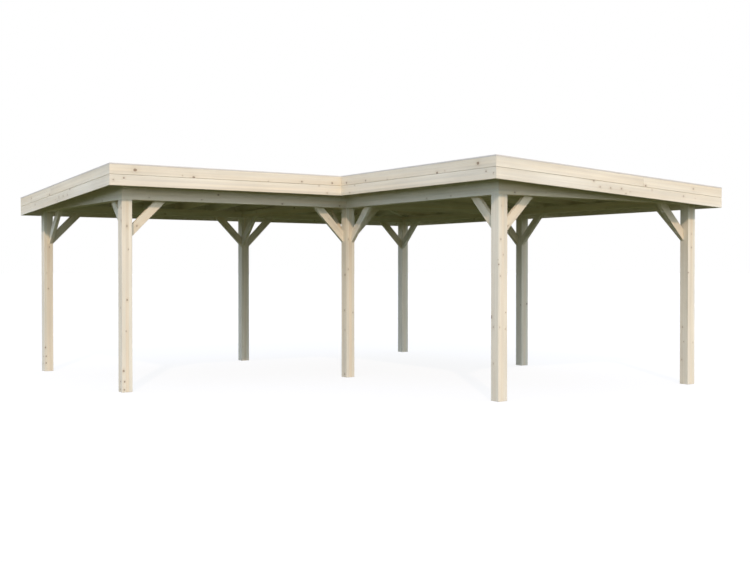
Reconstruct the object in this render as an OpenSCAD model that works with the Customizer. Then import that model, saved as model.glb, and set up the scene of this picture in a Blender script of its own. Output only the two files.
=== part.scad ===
// L-shaped timber garden gazebo: an open frame of eight square posts on a grid of
// three square bays, with beams, knee braces and a nearly flat roof. The roof falls
// from the two edges of the notch to the two back edges, so a hip runs from the
// notch to the back corner. Millimetres, +Z up. The origin is on the ground under
// the post at the notch, which is the middle of the plan. The left wing runs
// towards -Y and the right wing towards +X; each is the other's mirror image, but for
// the sides of the cross beams that their braces lie on.

/* [Plan] */
// Distance between the centres of neighbouring posts
bay = 2940; // [2300:10:3600]
// How far the fascia stands out past the posts
overhang = 215; // [120:1:400]

/* [Posts and beams] */
// Side of the square posts, which is also the width of the beams
post_side = 120; // [95:1:160]
// Height of the posts
post_h = 2145; // [1900:5:2600]
// Height of the low beams under the back edges and between the wings
beam_h = 90; // [70:1:160]

/* [Knee braces] */
// Reach of a brace down the post and out along the beam
brace_leg = 432; // [280:1:700]
// Width of a brace across its length
brace_w = 95; // [60:1:140]
// Thickness of a brace
brace_t = 45; // [30:1:56]
// Step from the inner side of the post to the brace
brace_step = 2; // [2:1:15]

/* [Roof frame] */
// Fall of the roof from its high edge to its low edge
roof_fall = 180; // [60:5:400]
// Number of rafter spaces in one bay
spaces = 6; // [4:1:7]
// Width of a rafter
rafter_w = 45; // [30:1:60]
// Depth of a rafter
rafter_h = 100; // [70:1:160]
// Width of the hip rafter
hip_w = 60; // [40:1:100]

/* [Roof skin] */
// Thickness of the roof boards
deck_t = 18; // [12:1:30]
// Thickness of the roofing felt
felt_t = 4; // [2:0.5:8]
// Joint between the two sheets of felt, measured along an edge of the roof
felt_joint = 3; // [3:1:10]

/* [Fascia] */
// Height of one fascia board; two stand on each other
board_h = 120; // [80:1:150]
// Thickness of a fascia board
board_t = 20; // [16:1:40]
// Thickness of the metal edge trim
trim_t = 2; // [2:0.5:5]
// How far the trim hangs down over the fascia
trim_drop = 12; // [5:1:40]
// How far the trim lies on the roof, inwards from the fascia
trim_lap = 60; // [30:1:120]

/* [Hidden] */
half_post = post_side / 2;
// Faces of the fascia, seen from the centre line of the nearest posts
fascia_out = half_post + overhang;
fascia_in = fascia_out - board_t;
slope = roof_fall / (bay + 2 * fascia_out);
// Top of the low beams, and of the deep beams along the notch
low_seat = post_h + beam_h;
high_seat = low_seat + slope * bay;
// Levels above the underside of the rafters
deck_low = rafter_h;
felt_low = deck_low + deck_t;
felt_top = felt_low + felt_t;
rafter_step = bay / spaces;
// Vertical cut across a brace at 45 degrees
brace_cut = brace_w * sqrt(2);
// Step along X or Y from the hip line to the side of the hip rafter
hip_side = hip_w / sqrt(2);
// Half length of everything that is trimmed to a plan outline
reach = bay + 2 * fascia_out;

timber = "burlywood";
pale_timber = "wheat";
roofing = "dimgray";
metal = "silver";

// ---- plans -------------------------------------------------------------------

// Turns a piece of the left half into its mirror image beyond the hip line
module to_the_right() {
    mirror([1, 1, 0])
        children();
}

// A prism that stands on a plan outline and is higher than the roof
module over_plan(outline) {
    linear_extrude(height = 2 * post_h)
        polygon(outline);
}

// The left half of the roof, out to a distance from the post centres; side is kept
// free beside the hip line
function half_roof(out, side) = [
    [-bay - out, -bay - out],
    [out, -bay - out],
    [out, -out - side],
    [-bay - out, bay + out - side]
];

// A strip along all the edges of the left half, between two such distances
function edge_strip(from, to) = [
    [-bay - to, bay + to],
    [-bay - to, -bay - to],
    [to, -bay - to],
    [to, -to],
    [from, -from],
    [from, -bay - from],
    [-bay - from, -bay - from],
    [-bay - from, bay + from]
];

// Strips along one edge of the left half, mitred at the corners
function end_strip(from, to) = [
    [-bay - to, -bay - to], [to, -bay - to], [from, -bay - from], [-bay - from, -bay - from]
];
function notch_strip(from, to) = [
    [to, -bay - to], [to, -to], [from, -from], [from, -bay - from]
];
function back_strip(from, to) = [
    [-bay - to, -bay - to], [-bay - from, -bay - from], [-bay - from, bay + from], [-bay - to, bay + to]
];

// Underside of the rafters over the left half, at a place in X
function rafter_low(x) = low_seat + slope * (x + bay - half_post);

// A layer parallel to the left half of the roof, between two levels above the
// underside of the rafters
module left_layer(low, high) {
    rotate([90, 0, 0])
        linear_extrude(height = 2 * reach, center = true)
            polygon([
                [-reach, rafter_low(-reach) + low],
                [reach, rafter_low(reach) + low],
                [reach, rafter_low(reach) + high],
                [-reach, rafter_low(-reach) + high]
            ]);
}

// ---- posts -------------------------------------------------------------------

module post(x, y) {
    color(timber)
        translate([x - half_post, y - half_post, 0])
            cube([post_side, post_side, post_h]);
}

module post_left_outer() { post(-bay, -bay); }
module post_left_inner() { post(0, -bay); }
module post_left_middle() { post(-bay, 0); }
module post_notch() { post(0, 0); }
module post_back_corner() { post(-bay, bay); }
module post_right_middle() { post(0, bay); }
module post_right_inner() { post(bay, 0); }
module post_right_outer() { post(bay, bay); }

// ---- beams -------------------------------------------------------------------

// A level beam on a plan outline, from the top of the posts up to its seat
module level_beam(outline, seat) {
    color(timber)
        translate([0, 0, post_h])
            linear_extrude(height = seat - post_h)
                polygon(outline);
}

module beam_left_back() { level_beam(back_strip(-half_post, half_post), low_seat); }
module beam_left_notch() { level_beam(notch_strip(-half_post, half_post), high_seat); }

// The beam at the end of the wing is cut to the fall of the rafters
module beam_left_end() {
    color(timber)
        intersection() {
            left_layer(-reach, 0);
            translate([0, 0, post_h])
                over_plan(end_strip(-half_post, half_post));
        }
}

// The beam between the notch post and the middle post of the back edge
module cross_beam_left() {
    color(timber)
        translate([half_post - bay, -half_post, post_h])
            cube([bay - post_side, post_side, beam_h]);
}

module beam_right_back() { to_the_right() beam_left_back(); }
module beam_right_notch() { to_the_right() beam_left_notch(); }
module beam_right_end() { to_the_right() beam_left_end(); }
module cross_beam_right() { to_the_right() cross_beam_left(); }

// ---- knee braces -------------------------------------------------------------

// One brace that leaves its post in the direction turn (degrees from +X). side is 1
// where the brace lies to the left of that direction, and -1 to the right.
module brace(turn, side) {
    rotate([0, 0, turn])
        translate([0, side * (half_post - brace_step - brace_t / 2), 0])
            rotate([90, 0, 0])
                linear_extrude(height = brace_t, center = true)
                    polygon([
                        [half_post, post_h - brace_leg],
                        [half_post + brace_leg, post_h],
                        [half_post + brace_leg - brace_cut, post_h],
                        [half_post, post_h - brace_leg + brace_cut]
                    ]);
}

// The braces of one post, as a list of [turn, side]
module braces(x, y, ways) {
    color(pale_timber)
        translate([x, y, 0])
            for (way = ways)
                brace(way[0], way[1]);
}

// Both braces of a cross beam lie on one side of it: on the -Y side of the left cross
// beam and on the -X side of the right one.
module braces_left_outer() { braces(-bay, -bay, [[0, 1], [90, -1]]); }
module braces_left_inner() { braces(0, -bay, [[180, -1], [90, 1]]); }
module braces_left_middle() { braces(-bay, 0, [[270, 1], [90, -1], [0, -1]]); }
module braces_notch() { braces(0, 0, [[270, -1], [0, 1], [180, 1], [90, 1]]); }
module braces_back_corner() { braces(-bay, bay, [[270, 1], [0, -1]]); }
module braces_right_middle() { braces(0, bay, [[0, -1], [180, 1], [270, -1]]); }
module braces_right_inner() { to_the_right() braces_left_inner(); }
module braces_right_outer() { to_the_right() braces_left_outer(); }

// ---- roof frame --------------------------------------------------------------

// Rafters on the left half at the given lines in Y, seated on the beams
module left_rafters(lines) {
    color(pale_timber)
        difference() {
            intersection() {
                left_layer(0, deck_low);
                over_plan(half_roof(fascia_in, hip_side));
                union()
                    for (y = lines)
                        translate([-reach, y - rafter_w / 2, 0])
                            cube([2 * reach, rafter_w, 2 * post_h]);
            }
            beam_left_back();
            beam_left_notch();
        }
}

// One rafter lies on the end beam, the others cross the wing
module rafters_left() {
    left_rafters([
        rafter_w / 2 - bay - half_post,
        for (i = [1:spaces - 1]) i * rafter_step - bay
    ]);
}

// These end at the hip rafter
module jack_rafters_left() {
    left_rafters([for (i = [0:spaces - 1]) i * rafter_step]);
}

module rafters_right() { to_the_right() rafters_left(); }
module jack_rafters_right() { to_the_right() jack_rafters_left(); }

// The left half of the hip rafter
module hip_half() {
    intersection() {
        left_layer(0, deck_low);
        over_plan([
            [fascia_in, -fascia_in],
            [fascia_in, -fascia_in - hip_side],
            [-bay - fascia_in, bay + fascia_in - hip_side],
            [-bay - fascia_in, bay + fascia_in]
        ]);
    }
}

module hip_rafter() {
    color(pale_timber)
        difference() {
            union() {
                hip_half();
                to_the_right() hip_half();
            }
            beam_left_notch();
            beam_right_notch();
            beam_left_back();
            beam_right_back();
        }
}

// ---- roof skin ---------------------------------------------------------------

module deck_left() {
    color(pale_timber)
        intersection() {
            left_layer(deck_low, felt_low);
            over_plan(half_roof(fascia_in, 0));
        }
}

module deck_right() { to_the_right() deck_left(); }

module felt_half() {
    intersection() {
        left_layer(felt_low, felt_top);
        over_plan(half_roof(fascia_in, felt_joint / 2));
    }
}

// One sheet on each half of the roof
module roof_felt() {
    color(roofing) {
        felt_half();
        to_the_right() felt_half();
    }
}

// ---- fascia ------------------------------------------------------------------

// A board on a plan outline; row 0 is the upper board and row 1 the lower one
module fascia(outline, row) {
    color(timber)
        intersection() {
            left_layer(felt_top - (row + 1) * board_h, felt_top - row * board_h);
            over_plan(outline);
        }
}

end_plan = end_strip(fascia_in, fascia_out);
notch_plan = notch_strip(fascia_in, fascia_out);
back_plan = back_strip(fascia_in, fascia_out);

module fascia_left_end_upper() { fascia(end_plan, 0); }
module fascia_left_end_lower() { fascia(end_plan, 1); }
module fascia_left_notch_upper() { fascia(notch_plan, 0); }
module fascia_left_notch_lower() { fascia(notch_plan, 1); }
module fascia_left_back_upper() { fascia(back_plan, 0); }
module fascia_left_back_lower() { fascia(back_plan, 1); }
module fascia_right_end_upper() { to_the_right() fascia(end_plan, 0); }
module fascia_right_end_lower() { to_the_right() fascia(end_plan, 1); }
module fascia_right_notch_upper() { to_the_right() fascia(notch_plan, 0); }
module fascia_right_notch_lower() { to_the_right() fascia(notch_plan, 1); }
module fascia_right_back_upper() { to_the_right() fascia(back_plan, 0); }
module fascia_right_back_lower() { to_the_right() fascia(back_plan, 1); }

// ---- edge trim ---------------------------------------------------------------

// An angle of metal that lies on the roof's edge and hangs over the fascia
module trim_half() {
    intersection() {
        left_layer(felt_top, felt_top + trim_t);
        over_plan(edge_strip(fascia_out - trim_lap, fascia_out + trim_t));
    }
    intersection() {
        left_layer(felt_top - trim_drop, felt_top + trim_t);
        over_plan(edge_strip(fascia_out, fascia_out + trim_t));
    }
}

module edge_trim() {
    color(metal)
        union() {
            trim_half();
            to_the_right() trim_half();
        }
}

// ---- the parts ---------------------------------------------------------------

post_left_outer();
post_left_inner();
post_left_middle();
post_notch();
post_back_corner();
post_right_middle();
post_right_inner();
post_right_outer();
beam_left_end();
beam_left_notch();
beam_left_back();
beam_right_end();
beam_right_notch();
beam_right_back();
cross_beam_left();
cross_beam_right();
braces_left_outer();
braces_left_inner();
braces_left_middle();
braces_notch();
braces_back_corner();
braces_right_middle();
braces_right_inner();
braces_right_outer();
rafters_left();
jack_rafters_left();
rafters_right();
jack_rafters_right();
hip_rafter();
deck_left();
deck_right();
roof_felt();
fascia_left_end_upper();
fascia_left_end_lower();
fascia_left_notch_upper();
fascia_left_notch_lower();
fascia_left_back_upper();
fascia_left_back_lower();
fascia_right_end_upper();
fascia_right_end_lower();
fascia_right_notch_upper();
fascia_right_notch_lower();
fascia_right_back_upper();
fascia_right_back_lower();
edge_trim();
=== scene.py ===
import math

import bpy
import numpy as np
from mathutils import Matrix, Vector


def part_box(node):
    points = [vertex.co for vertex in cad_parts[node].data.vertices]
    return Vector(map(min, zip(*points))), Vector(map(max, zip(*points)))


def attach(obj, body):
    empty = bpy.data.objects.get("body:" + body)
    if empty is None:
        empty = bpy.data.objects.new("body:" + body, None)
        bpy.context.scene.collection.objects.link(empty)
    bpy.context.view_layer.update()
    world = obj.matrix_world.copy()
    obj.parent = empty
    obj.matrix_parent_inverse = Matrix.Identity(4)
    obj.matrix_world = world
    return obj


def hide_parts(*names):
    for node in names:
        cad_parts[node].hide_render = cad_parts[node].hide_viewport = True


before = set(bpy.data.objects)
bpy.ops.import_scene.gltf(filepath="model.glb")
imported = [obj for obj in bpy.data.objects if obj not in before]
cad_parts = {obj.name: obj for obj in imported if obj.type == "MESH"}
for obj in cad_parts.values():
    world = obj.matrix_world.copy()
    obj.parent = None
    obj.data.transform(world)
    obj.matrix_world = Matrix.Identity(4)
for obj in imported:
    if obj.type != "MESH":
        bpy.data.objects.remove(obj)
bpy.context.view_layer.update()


# ---- Camera ----
# A standing viewer's camera, well outside the notch, looking at the gazebo's inner
# corner from the right-hand side and almost level.

scene = bpy.context.scene


def in_scene(name, data):
    """A new object for this data, linked to the scene."""
    made = bpy.data.objects.new(name, data)
    scene.collection.objects.link(made)
    return made


camera = in_scene("camera", bpy.data.cameras.new("camera"))
camera.data.sensor_width = 36
camera.data.lens = 50.23
camera.location = (11.260, -7.118, 1.368)
camera.rotation_euler = (math.radians(89.339), 0, math.radians(56.219))
scene.camera = camera


# ---- Light and floor ----
# A warm key light from behind the viewer and a fill from all round, bluer overhead and
# warmer from the right. The floor and the backdrop show white, and the floor keeps a
# faint shadow and throws only a little light up under the roof.

scene.view_settings.view_transform = "Standard"

KEY_FROM = (1.0, -0.60, 0.73)
KEY_STRENGTH = 1.70
KEY_COLOUR = (1.0, 0.75, 0.58)
KEY_WIDTH = math.radians(1.5)
FILL_LEVEL = (1.28, 1.34, 1.43)
FILL_RISE = (-0.37, -0.28, 0.03)
FILL_SIDE = (0.58, 0.81, 0)
FILL_GLOW = (0.24, 0.18, 0.10)
FLOOR_BOUNCE = (0.082, 0.088, 0.036)
FLOOR_SHADOW = 0.14
FLOOR_REACH = 300
WHITE = (1, 1, 1, 1)


def node(tree, kind, inputs=(), **settings):
    """A new shader node of a kind; inputs maps its sockets to values or to other sockets."""
    made = tree.nodes.new("ShaderNode" + kind)
    for name, value in settings.items():
        setattr(made, name, value)
    for key, value in dict(inputs).items():
        if isinstance(value, bpy.types.NodeSocket):
            tree.links.new(value, made.inputs[key])
        else:
            made.inputs[key].default_value = value
    return made


def maths(tree, operation, *values):
    """The result of one arithmetic node on values or sockets."""
    return node(tree, "Math", enumerate(values), operation=operation).outputs[0]


def vectors(tree, operation, *values):
    """The result of one vector node; a dot product, a length or a distance is a number."""
    made = node(tree, "VectorMath", enumerate(values), operation=operation)
    return made.outputs["Value" if operation in ("DOT_PRODUCT", "LENGTH", "DISTANCE") else "Vector"]


def new_finish(name):
    """A new material, with its node tree and its surface shader."""
    made = bpy.data.materials.new(name)
    made.use_nodes = True
    return made, made.node_tree, made.node_tree.nodes["Principled BSDF"]


def seen_directly(tree):
    """1 for rays from the camera and for those a mirror or glass sends on, else 0."""
    path = node(tree, "LightPath").outputs
    sharp = maths(tree, "MAXIMUM", path["Is Camera Ray"], path["Is Glossy Ray"])
    return maths(tree, "MAXIMUM", sharp, path["Is Transmission Ray"])


key = in_scene("key_light", bpy.data.lights.new("key_light", "SUN"))
key.data.energy = KEY_STRENGTH
key.data.color = KEY_COLOUR
key.data.angle = KEY_WIDTH
key.rotation_euler = (math.atan2(math.hypot(*KEY_FROM[:2]), KEY_FROM[2]), 0,
                      math.atan2(KEY_FROM[0], -KEY_FROM[1]))

world = bpy.data.worlds.new("backdrop")
scene.world = world
world.use_nodes = True
tree = world.node_tree
tree.nodes.clear()
towards = node(tree, "TexCoord").outputs["Generated"]
rise = node(tree, "SeparateXYZ", {0: towards}).outputs["Z"]
facing = vectors(tree, "DOT_PRODUCT", towards, FILL_SIDE)
level = vectors(tree, "MULTIPLY_ADD", facing, FILL_GLOW, FILL_LEVEL)
level = vectors(tree, "MULTIPLY_ADD", rise, FILL_RISE, level)
fill = node(tree, "Background", {"Color": level, "Strength": 1.0})
white = node(tree, "Background", {"Color": WHITE, "Strength": 1.0})
mixed = node(tree, "MixShader", {0: seen_directly(tree), 1: fill.outputs[0], 2: white.outputs[0]})
node(tree, "OutputWorld", {0: mixed.outputs[0]})

floor_mesh = bpy.data.meshes.new("floor")
floor_corners = [(x * FLOOR_REACH, y * FLOOR_REACH, 0) for x, y in ((-1, -1), (1, -1), (1, 1), (-1, 1))]
floor_mesh.from_pydata(floor_corners, [], [(0, 1, 2, 3)])
floor = in_scene("floor", floor_mesh)
floor_paint, tree, _ = new_finish("pale_floor")
tree.nodes.clear()
bounce = node(tree, "BsdfDiffuse", {"Color": (*FLOOR_BOUNCE, 1)})
glow = node(tree, "Emission", {"Color": WHITE, "Strength": 1.0})
lit = node(tree, "BsdfDiffuse", {"Color": WHITE})
shown = node(tree, "MixShader", {0: FLOOR_SHADOW, 1: glow.outputs[0], 2: lit.outputs[0]})
mixed = node(tree, "MixShader", {0: seen_directly(tree), 1: bounce.outputs[0], 2: shown.outputs[0]})
node(tree, "OutputMaterial", {0: mixed.outputs[0]})
floor_mesh.materials.append(floor_paint)


# ---- Posts ----
# Eight square posts of planed spruce, each glued up from three laminations that show
# as upright strips on two of its faces. They stand straight on the ground with cut
# ends, and their arrises are rounded by the planer.

ARRIS = 0.003
END_ARRIS = 0.0015
# The way along a timber in which the shoulder of a notch rises.
NOTCH_STEP = 0.0002
POST_LAMINATIONS = 3
# How large the wood is that all grain comes from, and how far apart the laminations of a
# timber lie in it.
WOOD_SIZE = 40
WOOD_APART = 1.7


def rounded_section(stack, across, arris, laminations):
    """Outline of a timber's cross-section, as rows of (stack, across).

    It runs round the four corners, each a quarter circle in three points, and the two
    sides that show the glue lines get a point at each of them.
    """
    half = np.array([stack, across]) / 2
    quarter = np.radians([0, 45, 90])
    glue = -half[0] + stack / laminations * np.arange(1, laminations)
    rows = []
    for index, sign in enumerate([(1, 1), (-1, 1), (-1, -1), (1, -1)]):
        turn = quarter + index * math.pi / 2
        centre = (half - arris) * sign
        rows.append(centre + arris * np.stack([np.cos(turn), np.sin(turn)], 1))
        if index == 0:
            rows.append(np.stack([glue[::-1], np.full(len(glue), half[1])], 1))
        if index == 2:
            rows.append(np.stack([glue, np.full(len(glue), -half[1])], 1))
    return np.concatenate(rows)


def lamination_of(section, stack, laminations):
    """The lamination that each side of a section lies in, counted up the stack."""
    middle = (np.roll(section, -1, 0) + section)[:, 0] / 2
    return np.clip(((middle / stack + 0.5) * laminations).astype(int), 0, laminations - 1)


def grain_start(seed):
    """Where in the wood a timber's own grain begins, as (along, across)."""
    return np.random.default_rng(seed).uniform(0, WOOD_SIZE, 2)


def grain_mark(seed, run, spot, stack, across, laminations=1):
    """Where a spot on a timber's side is in grain space, as (along, across).

    The spot is run along the timber and at (stack, across) on its section. The nearest
    point of the outline is a + t*(b - a) on its side from a to b, with
    t = (spot - a).(b - a) / |b - a|^2 kept between 0 and 1, and the way round to it is
    the sum of the sides before that one and t times its length.
    """
    section = rounded_section(stack, across, ARRIS, laminations)
    edge = np.roll(section, -1, 0) - section
    length = np.linalg.norm(edge, axis=1)
    part = np.clip(((spot - section) * edge).sum(1) / length**2, 0, 1)
    nearest = np.argmin(np.linalg.norm(section + part[:, None] * edge - spot, axis=1))
    way_round = length[:nearest].sum() + part[nearest] * length[nearest]
    lamination = lamination_of(section, stack, laminations)[nearest]
    shift = grain_start(seed)
    return (run + shift[0], way_round + shift[1] + WOOD_APART * lamination)


def band(rings, sides):
    """The faces between rings of points: their corners' rings, sides and numbers.

    A face goes from a side to the next, on to the following ring and back.
    """
    ring, edge = [a.ravel() for a in np.meshgrid(np.arange(rings - 1), np.arange(sides), indexing="ij")]
    following = (edge + 1) % sides
    corner_ring = np.stack([ring, ring, ring + 1, ring + 1], 1)
    corner_side = np.stack([edge, following, following, edge], 1)
    return corner_ring, corner_side, corner_ring * sides + corner_side


def timber(start, end, stack_way, across_way, stack, across, cuts=(None, None),
           arris=ARRIS, end_arris=END_ARRIS, laminations=1, climb=0.0, seats=(), seed=0, tones=None):
    """One timber, as arrays: its section carried from start to end between two cuts.

    A point of the section at (s, a) lies at start + u*along + s*stack_way + a*across_way.
    A cut is the normal of a plane through that end, or one normal for each point of the
    section, and u starts and stops on it: u = -(s*stack_way + a*across_way).n / along.n.
    The last rings are drawn in by end_arris. climb raises the far side of the stack by so
    much a metre, over grain that runs straight on, and a seat (from, to, level) is a notch
    that lifts the underside onto a beam. The grain is placed by the way along and the way
    round the section, and each lamination has a tone from 0, pale, to 1, warm.
    """
    start, end, stack_way, across_way = np.array([start, end, stack_way, across_way], float)
    length = np.linalg.norm(end - start)
    along = (end - start) / length
    section = rounded_section(stack, across, arris, laminations)
    half = np.array([stack, across]) / 2
    drawn_in = section * (1 - end_arris / half)

    def reach(points, cut, base):
        cut = np.array(along if cut is None else cut, float)
        offset = points[:, :1] * stack_way + points[:, 1:] * across_way
        return base - (offset * cut).sum(1) / (cut @ along)

    rings = [(drawn_in, reach(drawn_in, cuts[0], 0.0), None),
             (section, reach(section, cuts[0], 0.0) + end_arris, None)]
    for first, last, level in seats:
        for u, lift in ((first - NOTCH_STEP, None), (first, level), (last, level), (last + NOTCH_STEP, None)):
            rings.append((section, np.full(len(section), u), lift))
    rings += [(section, reach(section, cuts[1], length) - end_arris, None),
              (drawn_in, reach(drawn_in, cuts[1], length), None)]

    points, runs, taper = [], [], []
    for outline, u, level in rings:
        at = start + u[:, None] * along + outline[:, :1] * stack_way + outline[:, 1:] * across_way
        raised = climb * u * (outline[:, 0] / stack + 0.5)
        at[:, 2] += raised
        taper.append(-np.sign(outline[:, 1]) * raised)
        if level is not None:
            at[:, 2] = np.maximum(at[:, 2], level)
        points.append(at)
        runs.append(u)

    count, sides = len(rings), len(section)
    widths = np.linalg.norm(np.roll(section, -1, 0) - section, axis=1)
    girth = np.concatenate([[0], np.cumsum(widths)])
    lamination = lamination_of(section, stack, laminations)

    ring, corner, quads = band(count, sides)
    edge = corner[:, 0]
    shift = grain_start(seed)
    way_along = np.array(runs)[ring, corner] + shift[0]
    way_round = girth[edge[:, None] + [0, 1, 1, 0]] + np.array(taper)[ring, corner]
    way_round = way_round + shift[1] + WOOD_APART * lamination[edge][:, None]
    place = np.stack([way_along, way_round], 2)
    first, last = np.arange(sides)[::-1], np.arange(sides) + (count - 1) * sides
    if np.dot(np.cross(stack_way, across_way), along) < 0:
        quads, place, first, last = quads[:, ::-1], place[:, ::-1], first[::-1], last[::-1]
    if tones is None:
        tones = np.random.default_rng(seed + 1).uniform(0, 1, laminations)
    tones = np.array(tones)
    cut_ends = [section[end % sides] + shift for end in (first, last)]
    return {
        "points": np.concatenate(points),
        "faces": [*quads.tolist(), first.tolist(), last.tolist()],
        "place": np.concatenate([place.reshape(-1, 2), *cut_ends]),
        "tone": np.concatenate([tones[lamination[edge]], tones[:1], tones[:1]]),
        "end_grain": np.concatenate([np.zeros(len(quads)), [1, 1]]),
    }


def placed(name, points, faces, material):
    """A new piece of the gazebo, from its points and faces."""
    mesh = bpy.data.meshes.new(name)
    mesh.from_pydata(points, [], faces)
    mesh.materials.append(material)
    made = in_scene(name, mesh)
    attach(made, "root")
    return made


def finished(name, timbers, material, replaced=()):
    """One piece from several timbers, with their grain's place, tone and end grain."""
    faces, base = [], 0
    for piece in timbers:
        faces += [[corner + base for corner in face] for face in piece["faces"]]
        base += len(piece["points"])
    points, place, tone, end_grain = [np.concatenate([piece[key] for piece in timbers])
                                      for key in ("points", "place", "tone", "end_grain")]
    made = placed(name, points, faces, material)
    made.data.uv_layers.new(name="grain").data.foreach_set("uv", place.ravel())
    for key, values in (("tone", tone), ("end_grain", end_grain)):
        made.data.attributes.new(key, "FLOAT", "FACE").data.foreach_set("value", values)
    if replaced:
        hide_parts(*replaced)


VECTOR, NUMBER, COLOUR = "NodeSocketVector", "NodeSocketFloat", "NodeSocketColor"


def group(name, inputs, outputs):
    """An empty node group with these sockets; returns its tree, its input and its output."""
    tree = bpy.data.node_groups.new(name, "ShaderNodeTree")
    for socket, kind in inputs.items():
        tree.interface.new_socket(socket, in_out="INPUT", socket_type=kind)
    for socket, kind in outputs.items():
        tree.interface.new_socket(socket, in_out="OUTPUT", socket_type=kind)
    return tree, tree.nodes.new("NodeGroupInput").outputs, tree.nodes.new("NodeGroupOutput").inputs


def soft_step(tree, value, low, high):
    """0 below low, 1 above high, and a smooth rise between."""
    return node(tree, "MapRange", {"Value": value, "From Min": low, "From Max": high},
                interpolation_type="SMOOTHSTEP").outputs[0]


def blended(tree, factor, low, high):
    """A colour between two others, low at 0 and below and high at 1 and above."""
    return node(tree, "Mix", {0: factor, 6: low, 7: high}, data_type="RGBA").outputs[2]


def noise(tree, place, scale, detail):
    """A cloudy pattern that runs from 0 to 1."""
    return node(tree, "TexNoise", {"Vector": place, "Scale": scale, "Detail": detail}).outputs["Fac"]


def scaled(tree, value, factor, base):
    """A value times a factor, on top of a base."""
    return maths(tree, "MULTIPLY_ADD", value, factor, base)


def swayed(tree, value, pattern, reach):
    """A value that a pattern from 0 to 1 moves up and down, by reach in all."""
    return scaled(tree, maths(tree, "SUBTRACT", pattern, 0.5), reach, value)


# Knot: a spot at a centre in grain space, longer with the grain than across it. Its mask
# is strongest in the rim, weaker in the heart and 0 outside the radius, and its halo is
# a wide bell that bends and tints the grain round it.
knot_tree, given, result = group(
    "knot",
    {"Place": VECTOR, "Centre": VECTOR, "Radius": NUMBER, "Strength": NUMBER},
    {"Mask": NUMBER, "Halo": NUMBER},
)
t = knot_tree
KNOT_SHAPE = (0.78, 1, 0)
HEART_STRENGTH = 0.60
HALO_FALL = 0.16
# A knot without a radius is taken as a speck that has no halo.
SPECK = 1e-4
away = vectors(t, "MULTIPLY", vectors(t, "SUBTRACT", given["Place"], given["Centre"]), KNOT_SHAPE)
relative = maths(t, "DIVIDE", vectors(t, "LENGTH", away), maths(t, "MAXIMUM", given["Radius"], SPECK))
inside = maths(t, "SUBTRACT", 1, soft_step(t, relative, 0.8, 1.15))
rim = scaled(t, soft_step(t, relative, 0.35, 0.9), 1 - HEART_STRENGTH, HEART_STRENGTH)
inside = maths(t, "MULTIPLY", maths(t, "MULTIPLY", inside, rim), given["Strength"])
t.links.new(inside, result["Mask"])
square = maths(t, "MULTIPLY", relative, relative)
bell = maths(t, "EXPONENT", maths(t, "MULTIPLY", square, -HALO_FALL))
there = maths(t, "GREATER_THAN", given["Radius"], 10 * SPECK)
t.links.new(maths(t, "MULTIPLY", bell, there), result["Halo"])

# Spruce: growth rings as level lines of a stretched noise, so that they run straight on
# some faces and arch on others, with broad pale and pink streaks, fine fibres, and
# scattered knots that the rings bend round. Cut ends show the rings as circles.
spruce_tree, given, result = group(
    "spruce",
    {"Place": VECTOR, "Knot Place": VECTOR, "Tone": NUMBER, "End Grain": NUMBER,
     "Knottiness": NUMBER, "Spot": NUMBER, "Spot Halo": NUMBER, "Pale": COLOUR, "Warm": COLOUR},
    {"Color": COLOUR, "Roughness": NUMBER, "Height": NUMBER},
)
t = spruce_tree
# The spacing of the rings on the sides and on cut ends, the cells that hold at most one
# scattered knot each, and the least and greatest radius of such a knot, in metres.
RING_WIDTH = 0.0062
END_RING_WIDTH = 0.004
CELL_LONG, CELL_WIDE = 0.55, 0.13
SMALL_KNOT, LARGE_KNOT = 0.0035, 0.0145
# How many rings the grain wanders and how many a knot pushes it aside, and how narrow
# the dark late wood of a ring is.
RING_WANDER, KNOT_PUSH, LATE_POWER = 13.0, 2.6, 2.5
# How much warmer the blushes and the knots are, and how much lighter or darker each
# pattern makes the wood.
BLUSH_WARMTH, KNOT_WARMTH = 2.3, 0.45
STREAK_SHADE, CLOUD_SHADE, FIBRE_SHADE, KNOT_SHADE, END_SHADE = 0.38, 0.30, 0.10, -0.09, -0.14
TONE_LAYERS = 23.0
DARK_LINE = (0.85, 0.75, 0.64, 1)
KNOT_DARK, KNOT_LIGHT = (0.10, 0.052, 0.026, 1), (0.26, 0.15, 0.08, 1)

cell = vectors(t, "MULTIPLY", given["Place"], (1 / CELL_LONG, 1 / CELL_WIDE, 0))
cells = node(t, "TexVoronoi", {"Vector": cell, "Scale": 1.0, "Randomness": 0.9},
             voronoi_dimensions="2D").outputs
centre = vectors(t, "MULTIPLY", cells["Position"], (CELL_LONG, CELL_WIDE, 0))
luck = node(t, "SeparateColor", {0: cells["Color"]}).outputs
size = scaled(t, maths(t, "POWER", luck[1], 3.0), LARGE_KNOT - SMALL_KNOT, SMALL_KNOT)
chosen = maths(t, "LESS_THAN", luck[0], given["Knottiness"])
knot = node(t, "Group", {
    "Place": given["Knot Place"],
    "Centre": centre,
    "Radius": maths(t, "MULTIPLY", size, chosen),
    "Strength": scaled(t, luck[2], 0.65, 0.30),
}, node_tree=knot_tree).outputs
knot_mask = maths(t, "MAXIMUM", knot["Mask"], given["Spot"])
knot_mask = maths(t, "MULTIPLY", knot_mask, maths(t, "SUBTRACT", 1, given["End Grain"]))
halo = maths(t, "MAXIMUM", knot["Halo"], given["Spot Halo"])

split = node(t, "SeparateXYZ", {0: given["Place"]}).outputs
along, across = split[0], split[1]
tone_layer = maths(t, "MULTIPLY", given["Tone"], TONE_LAYERS)


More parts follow.
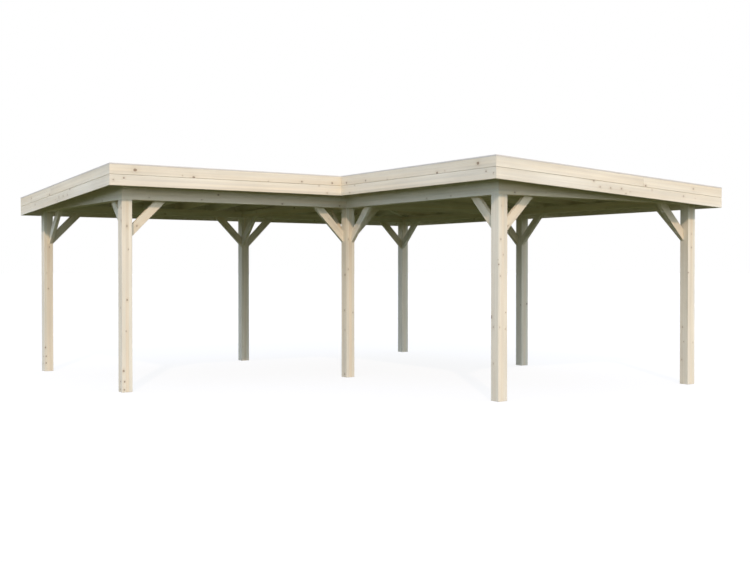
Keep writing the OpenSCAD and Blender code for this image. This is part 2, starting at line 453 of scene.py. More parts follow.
def grain_noise(along_rate, across_rate, detail, layer=0.0):
    """Noise drawn out with the grain, by its rates along and across, on one of its layers."""
    at = node(t, "CombineXYZ", {
        0: maths(t, "MULTIPLY", along, along_rate),
        1: maths(t, "MULTIPLY", across, across_rate),
        2: maths(t, "ADD", tone_layer, layer),
    }).outputs[0]
    return noise(t, at, 1.0, detail)


wander = grain_noise(0.4, 7.0, 2.0)
level = scaled(t, across, 1 / RING_WIDTH, maths(t, "MULTIPLY", wander, RING_WANDER))
level = scaled(t, halo, KNOT_PUSH, level)
from_pith = vectors(t, "DISTANCE", vectors(t, "FRACTION", given["Place"]), (0.5, 0.5, 0))
circles = maths(t, "MULTIPLY", from_pith, 1 / END_RING_WIDTH)
level = scaled(t, given["End Grain"], maths(t, "SUBTRACT", circles, level), level)
late = maths(t, "POWER", maths(t, "FRACT", level), LATE_POWER)

streak = grain_noise(0.5, 34.0, 4.0)
blush = grain_noise(0.45, 8.0, 2.0, 5.0)
cloud = grain_noise(1.4, 5.0, 3.0, 9.0)
fibre = grain_noise(16.0, 800.0, 2.0)

warmth = scaled(t, halo, KNOT_WARMTH, swayed(t, given["Tone"], blush, BLUSH_WARMTH))
colour = blended(t, warmth, given["Pale"], given["Warm"])
shade = swayed(t, 1.0, streak, STREAK_SHADE)
shade = swayed(t, shade, cloud, CLOUD_SHADE)
shade = swayed(t, shade, fibre, FIBRE_SHADE)
shade = scaled(t, halo, KNOT_SHADE, shade)
shade = scaled(t, given["End Grain"], END_SHADE, shade)
colour = vectors(t, "MULTIPLY", colour, blended(t, late, WHITE, DARK_LINE))
colour = node(t, "VectorMath", {0: colour, "Scale": shade}, operation="SCALE").outputs[0]
knot_colour = blended(t, fibre, KNOT_DARK, KNOT_LIGHT)
t.links.new(blended(t, knot_mask, colour, knot_colour), result["Color"])
dullness = scaled(t, fibre, 0.16, 0.64)
t.links.new(scaled(t, knot_mask, -0.16, dullness), result["Roughness"])
relief = scaled(t, late, 0.6, maths(t, "MULTIPLY", fibre, 0.4))
t.links.new(scaled(t, knot_mask, 0.8, relief), result["Height"])


def dressed(tree, surface, colour, roughness, height, strength, distance):
    """Gives a surface a colour, a roughness and a relief that change over it."""
    tree.links.new(colour, surface.inputs["Base Color"])
    tree.links.new(roughness, surface.inputs["Roughness"])
    if strength:
        bump = node(tree, "Bump", {"Height": height, "Strength": strength, "Distance": distance})
        tree.links.new(bump.outputs[0], surface.inputs["Normal"])


PALE = (0.845, 0.842, 0.733, 1)
WARM = (0.820, 0.764, 0.608, 1)
KNOT_RAGGED = np.array([0.0025, 0.0025, 0])


def spruce(name, knottiness, spots=()):
    """A planed spruce finish. Its scattered knots stand in a share knottiness of the cells.

    spots are knots at chosen places: (centre, radius, strength). A noise moves the outline
    of every knot by KNOT_RAGGED to either side.
    """
    made, tree, surface = new_finish(name)
    place = node(tree, "UVMap", uv_map="grain").outputs[0]
    ragged = node(tree, "TexNoise", {"Vector": place, "Scale": 110.0, "Detail": 1.0})
    knot_place = vectors(tree, "MULTIPLY_ADD", ragged.outputs["Color"], 2 * KNOT_RAGGED, place)
    knot_place = vectors(tree, "SUBTRACT", knot_place, KNOT_RAGGED)
    mask, halo = 0.0, 0.0
    for centre, radius, strength in spots:
        spot = node(tree, "Group", {"Place": knot_place, "Centre": (*centre, 0), "Radius": radius,
                                    "Strength": strength}, node_tree=knot_tree).outputs
        mask = maths(tree, "MAXIMUM", mask, spot["Mask"])
        halo = maths(tree, "MAXIMUM", halo, spot["Halo"])
    tone, end_grain = [node(tree, "Attribute", attribute_name=name).outputs["Fac"]
                       for name in ("tone", "end_grain")]
    wood = node(tree, "Group", {
        "Place": place, "Knot Place": knot_place, "Tone": tone, "End Grain": end_grain,
        "Knottiness": knottiness, "Spot": mask, "Spot Halo": halo, "Pale": PALE, "Warm": WARM,
    }, node_tree=spruce_tree).outputs
    dressed(tree, surface, wood["Color"], wood["Roughness"], wood["Height"], strength=0.35, distance=0.0006)
    surface.inputs["Specular IOR Level"].default_value = 0.0
    return made


side = np.subtract(*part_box("post_notch")[::-1])[0]
post_nodes = sorted(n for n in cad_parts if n.startswith("post_"))
# The middle lamination of each post is the warmest and the northern one the palest, and
# chance moves each of them a little.
POST_TONES = np.array([0.30, 0.85, 0.05])
POST_MOOD = 0.15
POST_SEED = 100
# Knots on a post, as (height, way north on the east side, radius, strength), and those on
# the south side as (height, way east, radius, strength).
EAST_KNOTS = {
    "left_outer": [
        (1.67, 0.011, 0.006, 0.9), (1.11, -0.004, 0.006, 0.7), (0.32, -0.045, 0.008, 0.9),
        (0.20, -0.036, 0.007, 0.8), (0.11, -0.036, 0.008, 0.8)],
    "left_inner": [
        (1.85, -0.002, 0.011, 0.5), (1.59, 0.017, 0.006, 0.9), (1.03, 0.0, 0.008, 0.8),
        (0.68, -0.016, 0.007, 0.6), (0.24, -0.043, 0.010, 0.9), (0.12, -0.032, 0.008, 0.9),
        (0.03, -0.036, 0.009, 0.7)],
    "notch": [(1.75, -0.025, 0.009, 0.4), (1.37, -0.032, 0.008, 0.4), (0.82, 0.035, 0.006, 0.6)],
    "right_inner": [
        (1.68, -0.029, 0.009, 0.5), (1.42, -0.055, 0.006, 1.0), (1.30, -0.033, 0.007, 0.4),
        (0.77, -0.044, 0.006, 0.3), (0.75, 0.034, 0.006, 0.3)],
    "right_outer": [(1.79, -0.002, 0.005, 0.7), (1.63, -0.001, 0.006, 0.9), (1.33, -0.054, 0.006, 0.9)],
}
SOUTH_KNOTS = {
    "left_outer": [(0.20, 0.029, 0.007, 0.6), (0.105, 0.001, 0.007, 0.7)],
    "left_inner": [
        (2.05, 0.036, 0.006, 0.7), (0.94, 0.011, 0.006, 0.4), (0.12, 0.011, 0.008, 0.8),
        (0.03, 0.004, 0.008, 0.7)],
    "notch": [
        (1.30, 0.026, 0.009, 0.8), (0.85, 0.018, 0.007, 0.6), (0.60, 0.025, 0.006, 0.5),
        (0.04, 0.018, 0.008, 0.7)],
    "right_inner": [(0.77, -0.019, 0.007, 0.45), (0.39, -0.021, 0.006, 0.3)],
    "right_outer": [(0.68, -0.020, 0.007, 0.5), (0.29, -0.031, 0.006, 0.3)],
}
post_spots = []
for number, name in enumerate(post_nodes):
    post = name.removeprefix("post_")
    marks = [(height, (aside, side / 2), *knot) for height, aside, *knot in EAST_KNOTS.get(post, ())]
    marks += [(height, (-side / 2, aside), *knot) for height, aside, *knot in SOUTH_KNOTS.get(post, ())]
    seed = POST_SEED + number
    post_spots += [(grain_mark(seed, height, spot, side, side, POST_LAMINATIONS), *knot)
                   for height, spot, *knot in marks]
post_finish = spruce("post_spruce", knottiness=0.25, spots=post_spots)

for number, name in enumerate(post_nodes):
    low, high = np.array(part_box(name))
    foot = (*(low + high)[:2] / 2, low[2])
    head = (*foot[:2], high[2])
    mood = np.random.default_rng(number).uniform(-POST_MOOD, POST_MOOD, POST_LAMINATIONS)
    post = timber(foot, head, (0, 1, 0), (1, 0, 0), side, side, laminations=POST_LAMINATIONS,
                  seed=POST_SEED + number, tones=POST_TONES + mood)
    finished("laminated_" + name, [post], post_finish, [name])


# ---- Beams ----
# Laminated beams as wide as the posts lie on them and are mitred over the corner
# posts. Those along the notch are deep, those at the ends of the wings are cut to the
# fall of the roof, and those at the back and between the wings are low.


def mirrored(point):
    """A point or direction of the left half, carried over to the right half."""
    return (-point[1], -point[0], point[2])


# Each half with what carries a point over to it; tuple leaves the point as it is.
HALVES = (("left", tuple), ("right", mirrored))
MITRE_ACROSS = (1, 1, 0)
MITRE_OUTER = (1, -1, 0)
MITRE_ARRIS = 0.0008
UP, EAST, NORTH = (0, 0, 1), (1, 0, 0), (0, 1, 0)
bay = -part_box("post_left_middle")[0][0] - side / 2
beam_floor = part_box("post_notch")[1][2]
low_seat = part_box("beam_left_back")[1][2]
high_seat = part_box("beam_left_notch")[1][2]
fall = (high_seat - low_seat) / bay
NOTCH_LAMINATIONS = 6
# The tones of the laminations of the beams along the notch, from the lowest up. They are
# partly the wood's own tone and partly painted light: the left beam's warmer tones paint
# the deeper shade on its side, and the right beam's paler tones paint the bluer fill on its side.
NOTCH_TONES_AND_PAINTED_LIGHT = {"left": (0.5, 0.9, 0.6, 0.8, 0.3, 0.7), "right": (0.0, 0.2, 0.0, 0.3, 0.0, 0.2)}
BEAM_SEEDS = {"left": 200, "right": 230}


def rafter_underside(x):
    """Height of the underside of the rafters on the left half."""
    return low_seat + fall * (x + bay - side / 2)


deep = high_seat - beam_floor
low = low_seat - beam_floor
shallow = rafter_underside(-bay) - beam_floor
# Knots on the outer sides of the beams, as (way from the beam's first end, way up,
# radius, strength).
NOTCH_BEAM_KNOTS = {
    "left": [(1.11, 0.093, 0.009, 0.8), (0.26, 0.032, 0.006, 0.4), (0.90, 0.033, 0.006, 0.4),
             (1.96, 0.018, 0.010, 0.6), (2.78, 0.021, 0.007, 0.7)],
    "right": [(0.74, 0.026, 0.007, 0.5), (1.18, 0.023, 0.006, 0.5)],
}
END_BEAM_KNOTS = {"left": [(2.04, 0.056, 0.006, 0.5)], "right": [(2.78, 0.025, 0.008, 0.8)]}
beam_spots = []
for half, seed in BEAM_SEEDS.items():
    for run, up, *knot in NOTCH_BEAM_KNOTS[half]:
        spot = (up - deep / 2, side / 2)
        beam_spots.append((grain_mark(seed, run, spot, deep, side, NOTCH_LAMINATIONS), *knot))
    for run, up, *knot in END_BEAM_KNOTS[half]:
        spot = (up - shallow / 2, -side / 2)
        beam_spots.append((grain_mark(seed + 3, run, spot, shallow, side), *knot))
beam_finish = spruce("beam_spruce", knottiness=0.2, spots=beam_spots)


def beam(name, turn, first, last, lies, height, seed, **how):
    """A beam on its posts' heads between two places of the left half's plan, turned."""
    start, end = [turn((*place, beam_floor + height / 2)) for place in (first, last)]
    made = timber(start, end, UP, turn(lies), height, side, seed=seed, **how)
    finished("laminated_" + name, [made], beam_finish, [name])


for half, turn in HALVES:
    seed = BEAM_SEEDS[half]
    across = turn(MITRE_ACROSS)
    corners = {"cuts": (turn(MITRE_OUTER), across), "end_arris": MITRE_ARRIS}
    # The notch beam takes its half's tones, which hold painted shade on the left and painted bluer light on
    # the right.
    beam(f"beam_{half}_notch", turn, (0, -bay), (0, 0), EAST, deep, seed, cuts=(across, across),
         end_arris=MITRE_ARRIS, laminations=NOTCH_LAMINATIONS, tones=NOTCH_TONES_AND_PAINTED_LIGHT[half])
    beam(f"beam_{half}_back", turn, (-bay, -bay), (-bay, bay), EAST, low, seed + 1, laminations=2, **corners)
    beam(f"cross_beam_{half}", turn, (side / 2 - bay, 0), (-side / 2, 0), NORTH, low, seed + 2, laminations=2)
    beam(f"beam_{half}_end", turn, (-bay, -bay), (0, -bay), NORTH, shallow, seed + 3, climb=fall, **corners)


# ---- Knee braces ----
# Short braces at 45 degrees stiffen each post to its beams. Each is a planed board cut
# upright against the post and level under the beam, set to one side of the post, and
# held by two countersunk screws at each end, driven from below.

BRACE_WIDTH = 0.095
BRACE_THICKNESS = 0.045
BRACE_INSET = 0.002
SCREW_FROM_END = 0.092
SCREW_ASIDE = 0.011
BRACE_SEED = 300
brace_reach = beam_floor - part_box("braces_notch")[0][2]
# For each post: its place on the grid, and for each of its braces the way it leans and the
# side of the post it lies on.
WAYS = {"E": (1, 0, 0), "W": (-1, 0, 0), "N": (0, 1, 0), "S": (0, -1, 0)}
BRACES = {
    "left_outer": ((-1, -1, 0), ("EN", "NE")),
    "right_outer": ((1, 1, 0), ("SW", "WS")),
    "left_inner": ((0, -1, 0), ("WN", "NW")),
    "right_inner": ((1, 0, 0), ("NW", "WN")),
    "left_middle": ((-1, 0, 0), ("SE", "NE", "ES")),
    "right_middle": ((0, 1, 0), ("ES", "WS", "SW")),
    "notch": ((0, 0, 0), ("SW", "EN", "WS", "NW")),
    "back_corner": ((-1, 1, 0), ("SE", "ES")),
}
# A knot on the face of a brace towards the outside, by its post and its place in the
# list above, as (way up the brace, way down from its middle, radius, strength).
BRACE_KNOTS = {
    ("left_inner", 1): (0.112, 0.004, 0.009, 0.6),
    ("right_inner", 0): (0.080, 0.019, 0.008, 0.5),
}
# The tone of some braces, from 0, pale, to 1, warm; chance gives that of the others.
BRACE_TONES = {("left_inner", 1): [0.70], ("right_inner", 0): [0.55], ("right_outer", 0): [1.0]}
screw_seats = []


def brace_seed(post, number):
    """One number for each brace, from its post and its place in that post's list."""
    return BRACE_SEED + 5 * list(BRACES).index(post) + number


brace_spots = []
for (post, number), (up, down, *knot) in BRACE_KNOTS.items():
    spot = (down, -BRACE_THICKNESS / 2)
    centre = grain_mark(brace_seed(post, number), up, spot, BRACE_WIDTH, BRACE_THICKNESS)
    brace_spots.append((centre, *knot))
brace_finish = spruce("brace_spruce", knottiness=0.2, spots=brace_spots)


def brace(cell, lean, lies, seed, tones):
    """One brace, from its post up to the beam; its four screws go into screw_seats."""
    lean, lies, rise = np.array([WAYS[lean], WAYS[lies], UP])
    aside = np.array(cell) * bay + lies * (side / 2 - BRACE_INSET - BRACE_THICKNESS / 2)
    middle_cut = BRACE_WIDTH / math.sqrt(2)
    foot = aside + lean * side / 2 + rise * (beam_floor - brace_reach + middle_cut)
    head = aside + lean * (side / 2 + brace_reach - middle_cut) + rise * beam_floor
    below = (lean - rise) / math.sqrt(2)
    along = (lean + rise) / math.sqrt(2)
    for row in (foot + along * SCREW_FROM_END, head - along * SCREW_FROM_END):
        for step in (-SCREW_ASIDE, SCREW_ASIDE):
            screw_seats.append((row + below * BRACE_WIDTH / 2 + lies * step, below))
    cuts = (lean, rise)
    return timber(foot, head, below, lies, BRACE_WIDTH, BRACE_THICKNESS, cuts, seed=seed, tones=tones)


for post, (cell, ways) in BRACES.items():
    timbers = [brace(cell, lean, lies, brace_seed(post, number), BRACE_TONES.get((post, number)))
               for number, (lean, lies) in enumerate(ways)]
    finished("sawn_braces_" + post, timbers, brace_finish, ["braces_" + post])


HEAD_RADII = np.array([0.30, 0.34, 0.86, 1.0, 1.0])
HEAD_HEIGHTS = np.array([-0.4, 1.0, 1.0, 0.2, -2.5])
HEAD_POINTS = 10


def screw_heads(name, seats, radius, proud):
    """Round heads of screws or nails, all in one piece, each at a seat (place, normal).

    A head is five rings of HEAD_POINTS, from the recess in its middle over the rim and
    down into the wood: a ring is a circle of radius*HEAD_RADII round the normal, moved
    along it by proud*HEAD_HEIGHTS.
    """
    turn = np.arange(HEAD_POINTS) * math.tau / HEAD_POINTS
    radii, heights = radius * HEAD_RADII[:, None, None], proud * HEAD_HEIGHTS[:, None, None]
    rings = len(HEAD_RADII)
    quads = band(rings, HEAD_POINTS)[2][:, [0, 3, 2, 1]]
    inner = list(range(HEAD_POINTS))
    outer = list(range(rings * HEAD_POINTS - 1, (rings - 1) * HEAD_POINTS - 1, -1))
    points, faces = [], []
    for number, (at, normal) in enumerate(seats):
        normal = np.array(normal, float)
        side_way = np.cross(normal, UP if abs(normal[2]) < 0.9 else EAST)
        side_way /= np.linalg.norm(side_way)
        other_way = np.cross(normal, side_way)
        circle = np.cos(turn)[:, None] * side_way + np.sin(turn)[:, None] * other_way
        points.append((np.array(at) + radii * circle + heights * normal).reshape(-1, 3))
        base = number * rings * HEAD_POINTS
        faces += (quads + base).tolist()
        faces += [[corner + base for corner in cap] for cap in (inner, outer)]
    placed(name, np.concatenate(points), faces, zinc)


# Mottle: a cloudy change from a dark shade of a finish to a light one.
mottle_tree, given, result = group(
    "mottle",
    {"Place": VECTOR, "Scale": NUMBER, "Detail": NUMBER, "Dark": COLOUR, "Light": COLOUR},
    {"Cloud": NUMBER, "Color": COLOUR},
)
t = mottle_tree
cloud = noise(t, given["Place"], given["Scale"], given["Detail"])
t.links.new(cloud, result["Cloud"])
t.links.new(blended(t, cloud, given["Dark"], given["Light"]), result["Color"])


def mottled(name, dark, light, scale, detail, roughness, spread, strength=0.0, distance=0.0):
    """A finish whose colour, roughness and relief follow a mottle, and its shader."""
    made, tree, surface = new_finish(name)
    mottle = node(tree, "Group", {
        "Place": node(tree, "TexCoord").outputs["Object"],
        "Scale": scale, "Detail": detail, "Dark": (*dark, 1), "Light": (*light, 1),
    }, node_tree=mottle_tree).outputs
    rough = scaled(tree, mottle["Cloud"], spread, roughness)
    dressed(tree, surface, mottle["Color"], rough, mottle["Cloud"], strength, distance)
    return made, surface


ZINC_DARK, ZINC_LIGHT = (0.5904, 0.574, 0.5248), (0.72, 0.70, 0.64)
zinc, surface = mottled("zinc_plated_steel", ZINC_DARK, ZINC_LIGHT, scale=300.0, detail=4.0,
                        roughness=0.25, spread=0.25)
surface.inputs["Metallic"].default_value = 1.0
screw_heads("brace_screws", screw_seats, radius=0.005, proud=0.0006)


# ---- Rafters ----
# Planed rafters follow the fall of the roof and are notched a few millimetres onto the
# beams. Those of the corner square end at the hip rafter, which runs from the notch to
# the back corner and has its ends cut to fit the corners of the fascia.

RAFTER_DEPTH = 0.100
RAFTER_WIDTH = 0.045
RAFTER_STEP = bay / 6
HIP_WIDTH = 0.060
RAFTER_SEEDS = {"left": 400, "right": 430}
HIP_SEED = 450
inner_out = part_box("deck_left")[1][0]
low_edge = -bay - inner_out
hip_aside = HIP_WIDTH / math.sqrt(2)
rafter_finish = spruce("rafter_spruce", knottiness=0.2)
SLOPE = (1, 0, fall)
# The beams of the left half that a rafter lies on, as (from x, to x, height).
beams_crossed = [(x - side / 2, x + side / 2, z) for x, z in ((-bay, low_seat), (0, high_seat))]


def rafter(y, stop, seed, turn):
    """A rafter of the left half at y, from the low fascia to the place where it stops."""
    deep = RAFTER_DEPTH / 2
    start, end = [turn((x, y, rafter_underside(x) + deep)) for x in (low_edge, stop)]
    grade = math.hypot(1, fall)
    crossed = beams_crossed if stop > side else beams_crossed[:1]
    seats = [((x0 - low_edge) * grade, (x1 - low_edge) * grade, z) for x0, x1, z in crossed]
    cuts = (turn(EAST), turn(EAST if stop > side else MITRE_ACROSS))
    return timber(start, end, UP, turn(NORTH), RAFTER_DEPTH, RAFTER_WIDTH, cuts, seats=seats, seed=seed)


for wing, turn in HALVES:
    seed = RAFTER_SEEDS[wing]
    lines = [RAFTER_WIDTH / 2 - bay - side / 2] + [i * RAFTER_STEP - bay for i in range(1, 6)]
    whole = [rafter(y, inner_out, seed + i, turn) for i, y in enumerate(lines)]
    finished(f"planed_rafters_{wing}", whole, rafter_finish, [f"rafters_{wing}"])
    jacks = [rafter(i * RAFTER_STEP, -i * RAFTER_STEP - hip_aside, seed + 10 + i, turn) for i in range(6)]
    finished(f"planed_jack_rafters_{wing}", jacks, rafter_finish, [f"jack_rafters_{wing}"])

# Each point of the hip's section is cut by the half of the roof it is on.
outline = rounded_section(RAFTER_DEPTH, HIP_WIDTH, ARRIS, 1)
ends = np.where(outline[:, 1:] < 0, EAST, NORTH)
hip_start, hip_end = [(x, -x, rafter_underside(x) + RAFTER_DEPTH / 2) for x in (low_edge, inner_out)]
lean = math.sqrt(0.5)
hip_run = math.hypot(math.sqrt(2), fall)
hip_seats = [((x0 - hip_start[0]) * hip_run, (x1 - hip_start[0]) * hip_run, z)
             for x0, x1, z in beams_crossed]
hip = timber(hip_start, hip_end, UP, (lean, lean, 0), RAFTER_DEPTH, HIP_WIDTH, (ends, ends),
             seats=hip_seats, seed=HIP_SEED)
finished("planed_hip_rafter", [hip], rafter_finish, ["hip_rafter"])


# ---- Roof boards ----
# Tongue and groove boards are nailed across the rafters, parallel to the low edges, and
# are mitred where they meet over the hip. Their lower edges are bevelled, which draws
# fine lines on the ceiling; long runs are two lengths that meet over a rafter.

BOARD_PITCH = 0.0958
BOARD_THICK = 0.018
BOARD_ARRIS = 0.0025
BOARD_END_ARRIS = 0.0004
LONGEST_BOARD = 4.8
BOARD_SEEDS = {"left": 500, "right": 700}
deck_low = rafter_underside(0) + RAFTER_DEPTH
board_finish = spruce("roof_board_spruce", knottiness=0.35)
board_count = round((bay + 2 * inner_out) / BOARD_PITCH)
board_step = (bay + 2 * inner_out) / board_count

for wing, turn in HALVES:
    timbers = []
    for row in range(board_count):
        x = low_edge + (row + 0.5) * board_step
        z = deck_low + fall * x + BOARD_THICK / 2
        first, last = low_edge, -x
        # The joints of following rows lie over different rafters.
        meets = RAFTER_STEP * (row * 5 % 4 - 2)
        stops = [first, meets, last] if last - first > LONGEST_BOARD else [first, last]
        for part, (a, b) in enumerate(zip(stops, stops[1:])):
            cuts = (turn(NORTH), turn(MITRE_ACROSS if b == last else NORTH))
            timbers.append(timber(
                turn((x, a, z)), turn((x, b, z)), turn(SLOPE), UP, board_step, BOARD_THICK, cuts,
                arris=BOARD_ARRIS, end_arris=BOARD_END_ARRIS, seed=BOARD_SEEDS[wing] + 2 * row + part))
    finished(f"matched_boards_{wing}", timbers, board_finish, [f"deck_{wing}"])


# ---- Roofing felt ----
# Strips of bituminous felt a metre wide lie parallel to the low edges. Each laps over
# the one below it, with a bead of bitumen squeezed out along its edge, and a narrow strip
# is bonded over the joint along the hip.

FELT_WIDTH = 1.00
FELT_LAP = 0.10
FELT_THICK = 0.0024
FELT_LIFT = 0.0016
FELT_SEED = 900
LEAST_STRIP = 0.05
HIP_STRIP = 0.33
BEAD_WIDTH = 0.014
BEAD_THICK = 0.0018
BEAD_OUT = 0.3 * BEAD_WIDTH
SOFT_EDGES = {"arris": 0.0006, "end_arris": 0.0003}
felt_low = deck_low + BOARD_THICK

felt, tree, surface = new_finish("mineral_felt")
at = node(tree, "TexCoord").outputs["Object"]
grit = node(tree, "TexVoronoi", {"Vector": at, "Scale": 700.0}).outputs
speck = node(tree, "SeparateColor", {0: grit["Color"]}).outputs[0]
speck = swayed(tree, speck, noise(tree, at, scale=1.6, detail=5.0), 0.45)
roll = node(tree, "Attribute", attribute_name="tone").outputs["Fac"]
speck = swayed(tree, speck, roll, 0.30)
shade = node(tree, "Clamp", {0: speck}).outputs[0]
FELT_DARK, FELT_LIGHT = (0.035, 0.036, 0.038, 1), (0.125, 0.127, 0.130, 1)
dressed(tree, surface, blended(tree, shade, FELT_DARK, FELT_LIGHT), scaled(tree, shade, -0.12, 0.92),
        grit["Distance"], strength=0.6, distance=0.0012)

BITUMEN_DARK, BITUMEN_LIGHT = (0.012, 0.012, 0.013), (0.030, 0.030, 0.032)
bitumen, surface = mottled("bitumen", BITUMEN_DARK, BITUMEN_LIGHT, scale=60.0, detail=3.0,
                           roughness=0.45, spread=0.3, strength=0.5, distance=0.002)
surface.inputs["Specular IOR Level"].default_value = 0.3


def flat_bar(x, z, stop, way, width, thick, turn, seed=0):
    """A flat bar of the left half along Y at x, from the edge of the roof to stop, mitred."""
    cuts = (turn(NORTH), turn(MITRE_ACROSS))
    return timber(turn((x, low_edge, z)), turn((x, stop, z)), turn(way), UP, width, thick, cuts,
                  seed=seed, **SOFT_EDGES)


def felt_strip(x_low, x_high, lapped, turn, seed):
    """A strip of the left half between two places in X, mitred at the hip.

    Across the strip its underside rises from the lap over the strip below, level with
    that one's top, down to the boards: z = felt_low + fall*x + lift, with lift going
    from FELT_LIFT to 0. Its section is a flat bar of FELT_THICK.
    """
    lift = FELT_LIFT if lapped else 0.0
    middle = (x_low + x_high) / 2
    tilt = -lift / (x_high - x_low)
    z = felt_low + fall * middle + lift / 2 + FELT_THICK / 2
    return flat_bar(middle, z, -middle, (1, 0, fall + tilt), x_high - x_low, FELT_THICK, turn, seed)


def lap_bead(x, turn):
    """The bead of bitumen along a lap, a flat bar on the strip below, up to the hip strip."""
    z = felt_low + fall * x + FELT_THICK + BEAD_THICK / 2
    stop = -x - HIP_STRIP / 2 * math.sqrt(2)
    return flat_bar(x, z, stop, SLOPE, BEAD_WIDTH, BEAD_THICK, turn)


strips, beads = [], []
for wing, turn in HALVES:
    edge, lapped = low_edge, False
    while edge < inner_out - LEAST_STRIP:
        top = min(edge + FELT_WIDTH, inner_out)
        seed = FELT_SEED + len(strips)
        strips.append(felt_strip(edge - (FELT_LAP if lapped else 0), top, lapped, turn, seed))
        if lapped:
            beads.append(lap_bead(edge - FELT_LAP - BEAD_OUT, turn))
        edge, lapped = top, True

hip_z = felt_low + 1.5 * FELT_THICK
aside = HIP_STRIP / 2 / math.sqrt(2)
for wing, turn in HALVES:
    start, end = [turn((x, -x - aside, hip_z + fall * x)) for x in (low_edge, inner_out)]
    strips.append(timber(start, end, turn((lean, lean, fall * lean)), UP, HIP_STRIP / 2, FELT_THICK,
                         (turn(EAST), turn(EAST)), **SOFT_EDGES))
finished("felt_strips", strips, felt, ["roof_felt"])
finished("lap_beads", beads, bitumen)


# ---- Fascia ----
# Two planed boards, one on the other, close each edge of the roof. They are nailed to
# the rafter ends and roof boards and mitred at the corners; a narrow gap leaves a dark
# line between them, and some are made of two lengths.

FASCIA_HEIGHT = 0.120
FASCIA_GAP = 0.0025
FASCIA_THICK = 0.020
FASCIA_OVER = 0.004
FASCIA_END_ARRIS = 0.0006
FASCIA_SEED = 800
outer_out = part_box("fascia_left_notch_upper")[1][0]
outer_edge = -bay - outer_out
fascia_middle = outer_out - FASCIA_THICK / 2
far = -bay - fascia_middle
fascia_top = felt_low + FASCIA_OVER
# Each edge of the left half, as (first corner, last corner, the cut at each, outward).
CORNERS = {
    "end": ((far, far), (fascia_middle, far), MITRE_OUTER, MITRE_ACROSS, (0, -1, 0)),
    "notch": ((fascia_middle, far), (fascia_middle, -fascia_middle), MITRE_ACROSS, MITRE_ACROSS, SLOPE),
    "back": ((far, far), (far, -far), MITRE_OUTER, MITRE_ACROSS, (-1, 0, -fall)),
}
# Where a board is made of two lengths, by the way from its first corner, and how far
# each length stops short of the joint.
BUTTED = {("end", "upper"): 1.34, ("back", "upper"): 2.71, ("back", "lower"): 4.18}
BUTT_GAP = 0.0012
# The tone of each length, from 0, pale, to 1, warm.
BOARD_TONES = {
    ("end", "upper"): (0.80, 0.35), ("end", "lower"): (0.40,), ("notch", "upper"): (0.65,),
    ("notch", "lower"): (0.45,), ("back", "upper"): (0.25, 0.70), ("back", "lower"): (0.60, 0.30),
}
# Knots that catch the eye, as (way from the first corner, way down the face, radius,
# strength).
KNOTS = {
    ("notch", "upper"): [
        (0.278, 0.064, 0.015, 0.95), (0.970, 0.110, 0.012, 0.9), (1.92, 0.112, 0.006, 0.4),
        (2.375, 0.094, 0.009, 0.8), (2.803, 0.091, 0.010, 0.95)],
    ("notch", "lower"): [(0.032, 0.060, 0.006, 0.8), (0.150, 0.036, 0.008, 0.9), (2.615, 0.012, 0.006, 0.5)],
    ("end", "upper"): [(0.50, 0.064, 0.009, 0.6), (1.305, 0.106, 0.009, 0.9)],
    ("end", "lower"): [
        (0.67, 0.042, 0.007, 0.7), (1.20, 0.020, 0.006, 0.5), (1.62, 0.100, 0.006, 0.5),
        (1.69, 0.052, 0.009, 0.6), (1.86, 0.060, 0.008, 0.5), (2.02, 0.064, 0.008, 0.5)],
}
board_depth = FASCIA_HEIGHT - FASCIA_GAP / 2


def fascia_seed(edge, row, part):
    """One number for each length of board, the same on both wings."""
    return FASCIA_SEED + 30 * list(CORNERS).index(edge) + 10 * (row == "lower") + part


def face_mark(edge, row, run, down):
    """A place on a board's outer face in grain space, from its way along and down."""
    joint = BUTTED.get((edge, row), math.inf)
    part = int(run > joint)
    spot = (board_depth / 2 - down, FASCIA_THICK / 2)
    run = run - joint if part else run
    return grain_mark(fascia_seed(edge, row, part), run, spot, board_depth, FASCIA_THICK)


fascia_spots = [(face_mark(edge, row, run, down), *knot)
                for (edge, row), marks in KNOTS.items() for run, down, *knot in marks]
fascia_finish = spruce("fascia_spruce", knottiness=0.18, spots=fascia_spots)


def fascia_board(edge, row, turn):
    """The lengths of one fascia board, in the left half's plan or turned to the right."""
    first, last, first_cut, last_cut, outward = CORNERS[edge]
    first, last = np.array([first, last])
    run = np.linalg.norm(last - first)
    stops = [0.0, run]
    if (edge, row) in BUTTED:
        stops.insert(1, BUTTED[edge, row])
    middle = board_depth / 2 if row == "upper" else 2 * FASCIA_HEIGHT - board_depth / 2
    square = (*(last - first), 0)
    pieces = []
    for part, (a, b) in enumerate(zip(stops, stops[1:])):
        ends = []
        for way in (a + BUTT_GAP * (a > 0), b - BUTT_GAP * (b < run)):
            place = first + (last - first) * way / run
            ends.append((*place, fascia_top + fall * place[0] - middle))
        cuts = (turn(first_cut if a == 0 else square), turn(last_cut if b == run else square))
        pieces.append(timber(turn(ends[0]), turn(ends[1]), UP, turn(outward), board_depth, FASCIA_THICK, cuts,
                             end_arris=FASCIA_END_ARRIS, seed=fascia_seed(edge, row, part),
                             tones=BOARD_TONES[edge, row][part:part + 1]))
    return pieces


for wing, turn in HALVES:
    for edge in CORNERS:
        for row in ("upper", "lower"):
            name = f"fascia_{wing}_{edge}_{row}"
            boards = fascia_board(edge, row, turn)
            finished("planed_" + name, boards, fascia_finish, [name])

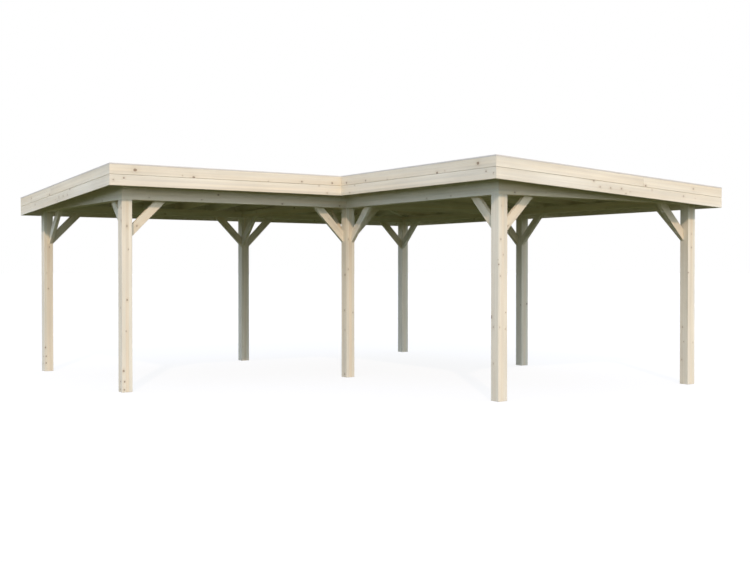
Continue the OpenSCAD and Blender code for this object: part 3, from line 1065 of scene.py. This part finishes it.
# Nails stand in threes at the spacing of the rafters along the notch and back edges, and
# in twos every half metre at the ends of the wings, so far below the upper board's top.
RAFTER_NAIL_DROPS = (0.030, 0.090, 0.150)
END_NAIL_DROPS = (0.016, 0.100)
END_NAIL_STEP = 0.5
nails = []
for wing, turn in HALVES:
    rafters_at = [i * RAFTER_STEP - bay for i in range(12)]
    rows = [(x, y, (math.copysign(1, x), 0, 0), RAFTER_NAIL_DROPS)
            for x, places in ((outer_out, rafters_at[:6]), (outer_edge, rafters_at)) for y in places]
    rows += [(outer_edge + i * END_NAIL_STEP, outer_edge, (0, -1, 0), END_NAIL_DROPS)
             for i in range(1, 7)]
    nails += [(turn((x, y, fascia_top + fall * x - drop)), turn(facing))
              for x, y, facing, drops in rows for drop in drops]
screw_heads("fascia_nails", nails, radius=0.0032, proud=0.0003)


# ---- Edge trim ----
# A folded angle of pale coated sheet lies on the felt along all the edges and hangs a
# finger's width over the fascia. It is nailed down through its flange, and short folded
# covers bridge the joints between its lengths.

TRIM_THICK = 0.002
TRIM_FLANGE = 0.060
TRIM_LIP = 0.012
COVER_LENGTH = 0.060
COVER_THICK = 0.0009
# How far a cover stops short of the flange's inner edge and of the lip's lower edge.
COVER_BACK = 0.004
COVER_UP = 0.001
PIN_STEP = 0.45
PIN_INSET = 0.045

COAT_DARK, COAT_LIGHT = (0.63, 0.62, 0.57), (0.72, 0.70, 0.65)
trim_coat, surface = mottled("coated_sheet", COAT_DARK, COAT_LIGHT, scale=9.0, detail=4.0,
                             roughness=0.40, spread=0.25)
surface.inputs["Specular IOR Level"].default_value = 0.25

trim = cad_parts["edge_trim"]
trim.data.materials.clear()
trim.data.materials.append(trim_coat)

# The edges of the trim as (first corner, last corner, outward), and the joints on each as
# shares of its length.
TRIM_EDGES = [
    ((outer_edge, outer_edge), (outer_out, outer_edge), (0, -1), (0.5,)),
    ((outer_out, outer_edge), (outer_out, -outer_out), (1, 0), (0.5,)),
    ((outer_edge, outer_edge), (outer_edge, -outer_edge), (-1, 0), (0.33, 0.67)),
]


def joint_cover(at, outward, along, turn):
    """A folded cover over a joint of the trim.

    Its outline, from the inner edge of the flange over the fold to the lower edge of the
    lip and back underneath, as (way out, way up), is carried half its length each way.
    """
    t, c = TRIM_THICK, COVER_THICK
    inner, lower = COVER_BACK - TRIM_FLANGE, COVER_UP - TRIM_LIP
    outline = np.array([(inner, t), (inner, t + c), (t, t + c), (t + c, t), (t + c, lower),
                        (t, lower), (t, t)])
    rings = []
    for way in (-COVER_LENGTH / 2, COVER_LENGTH / 2):
        plan = at + along * way + outline[:, :1] * outward
        rings.append(np.column_stack([plan, fascia_top + fall * plan[:, 0] + outline[:, 1]]))
    return np.stack(turn(np.concatenate(rings).T), 1)


points, faces, pins = [], [], []
sides = 7  # of a cover's outline
flank = [[i, (i + 1) % sides, (i + 1) % sides + sides, i + sides] for i in range(sides)]
cover = [*flank, list(range(sides))[::-1], list(range(sides, 2 * sides))]
for wing, turn in HALVES:
    for first, last, outward, joints in TRIM_EDGES:
        first, last, outward = np.array([first, last, outward])
        length = np.linalg.norm(last - first)
        along = (last - first) / length
        inward = (along[0] * outward[1] - along[1] * outward[0] > 0) != (wing == "right")
        for share in joints:
            base = len(points) * 2 * sides
            points.append(joint_cover(first + (last - first) * share, outward, along, turn))
            faces += [[corner + base for corner in (face[::-1] if inward else face)] for face in cover]
        count = round(length / PIN_STEP)
        for i in range(count):
            x, y = first + (last - first) * (i + 0.5) / count - outward * PIN_INSET
            pins.append((turn((x, y, fascia_top + fall * x + TRIM_THICK)), UP))
placed("trim_joint_covers", np.concatenate(points), faces, trim_coat)
screw_heads("trim_pins", pins, radius=0.0045, proud=0.0008)
